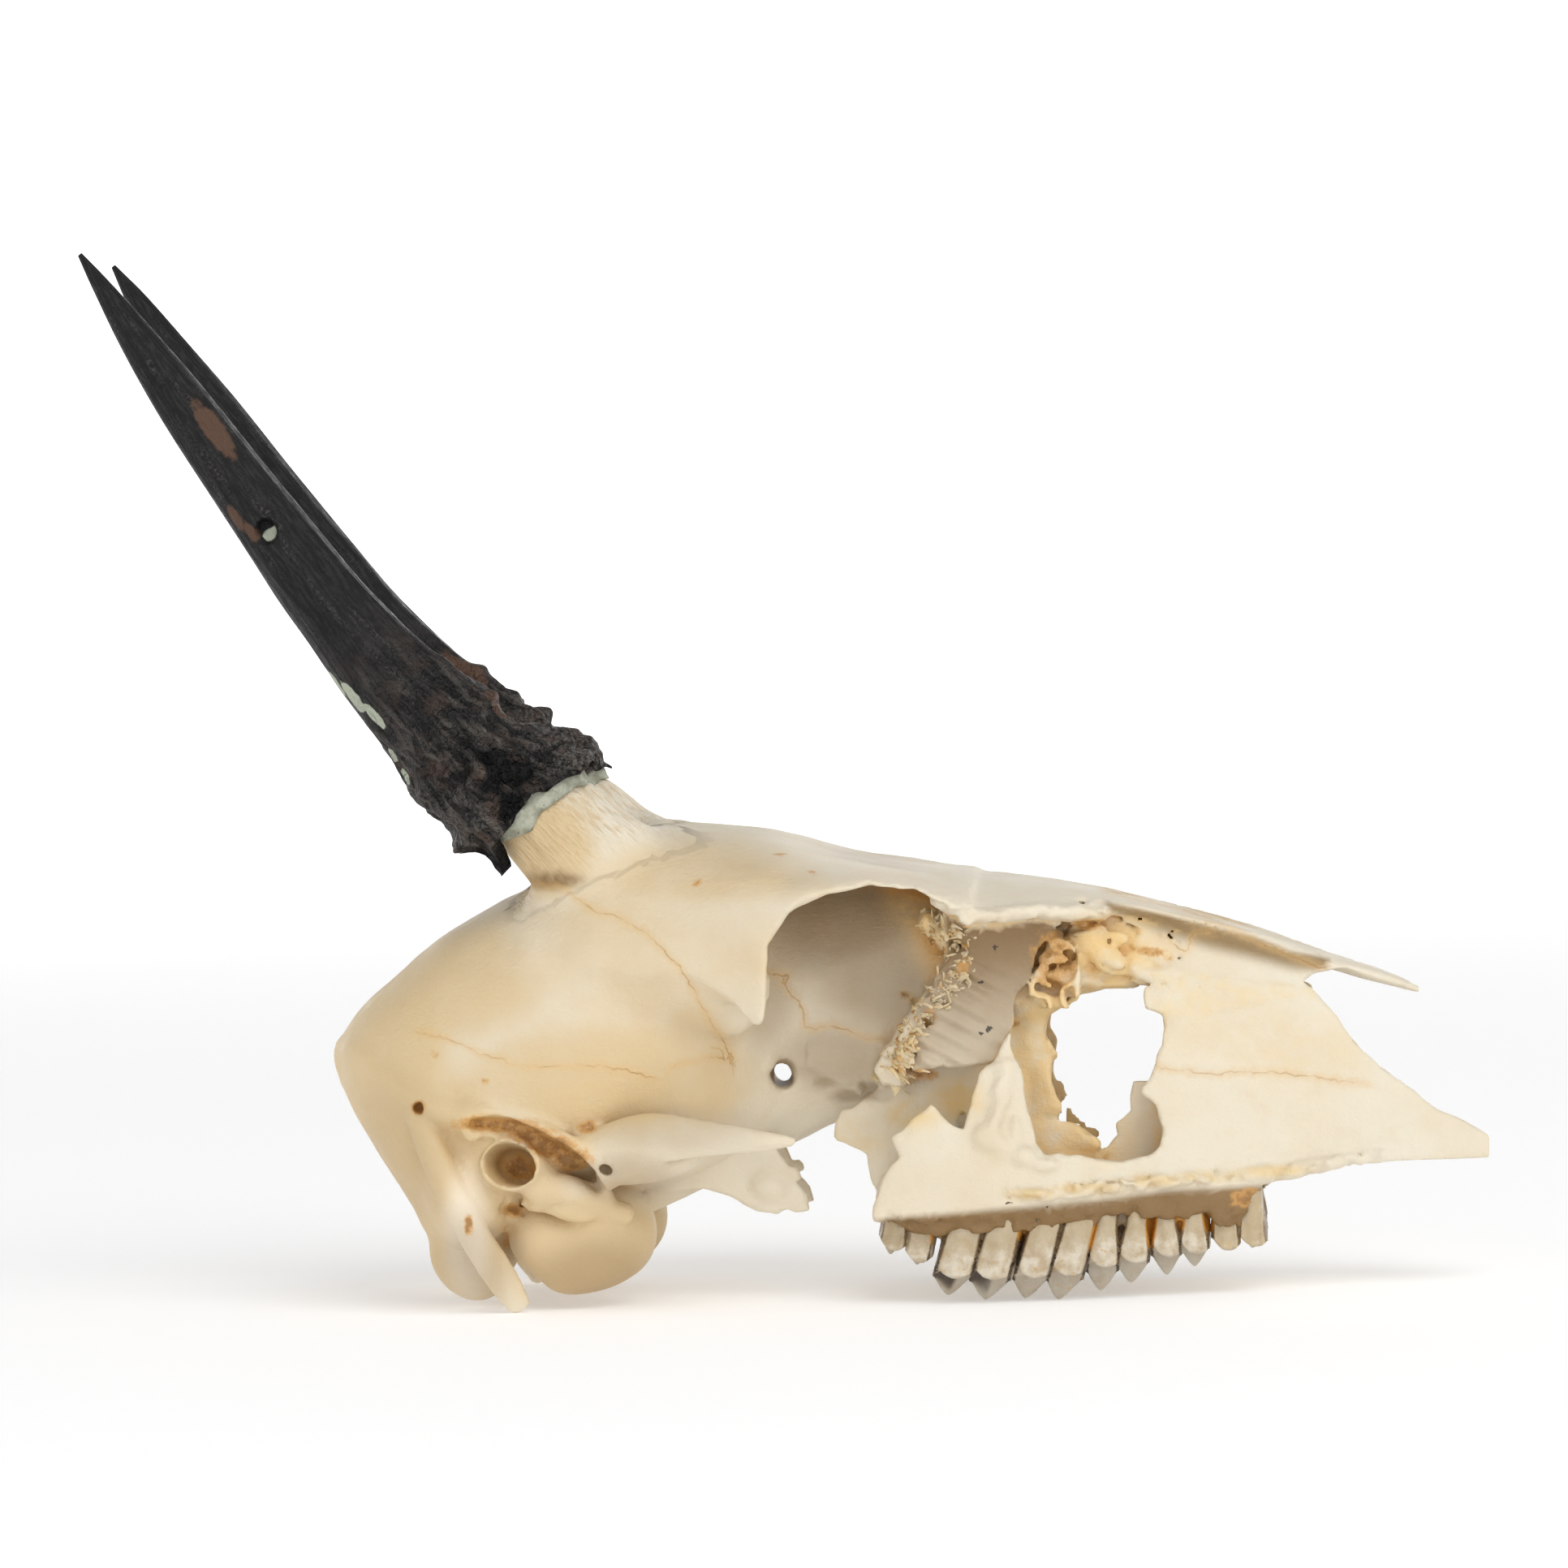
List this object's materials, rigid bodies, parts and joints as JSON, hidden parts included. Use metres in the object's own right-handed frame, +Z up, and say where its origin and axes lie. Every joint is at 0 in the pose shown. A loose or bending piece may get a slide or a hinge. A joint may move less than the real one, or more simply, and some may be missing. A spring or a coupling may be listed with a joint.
{
  "type": "duiker skull",
  "caption": "Dry skull of a small horned antelope without its lower jaw, with straight black backswept horns, long cheek teeth, wide eye sockets and broken cheeks.",
  "frame": {"origin": "bottom centre of the whole skull's box, on the surface that it stands on", "axes": "+X towards the nose, +Y towards the skull's left side, +Z up"},
  "size_m": [0.2002, 0.0695, 0.1538],
  "materials": {
    "bone": "satin",
    "horn": "satin",
    "bedding": "matte",
    "enamel": "satin"
  },
  "bodies": {
    "root": {"cranium": "bone", "horn_sheath_right": "horn", "horn_bedding_right": "bedding", "premolar_2_right": "enamel", "premolar_3_right": "enamel", "premolar_4_right": "enamel", "molar_1_right": "enamel", "molar_2_right": "enamel", "molar_3_right": "enamel", "horn_sheath_left": "horn", "horn_bedding_left": "bedding", "premolar_2_left": "enamel", "premolar_3_left": "enamel", "premolar_4_left": "enamel", "molar_1_left": "enamel", "molar_2_left": "enamel", "molar_3_left": "enamel"}
  },
  "joints": []
}
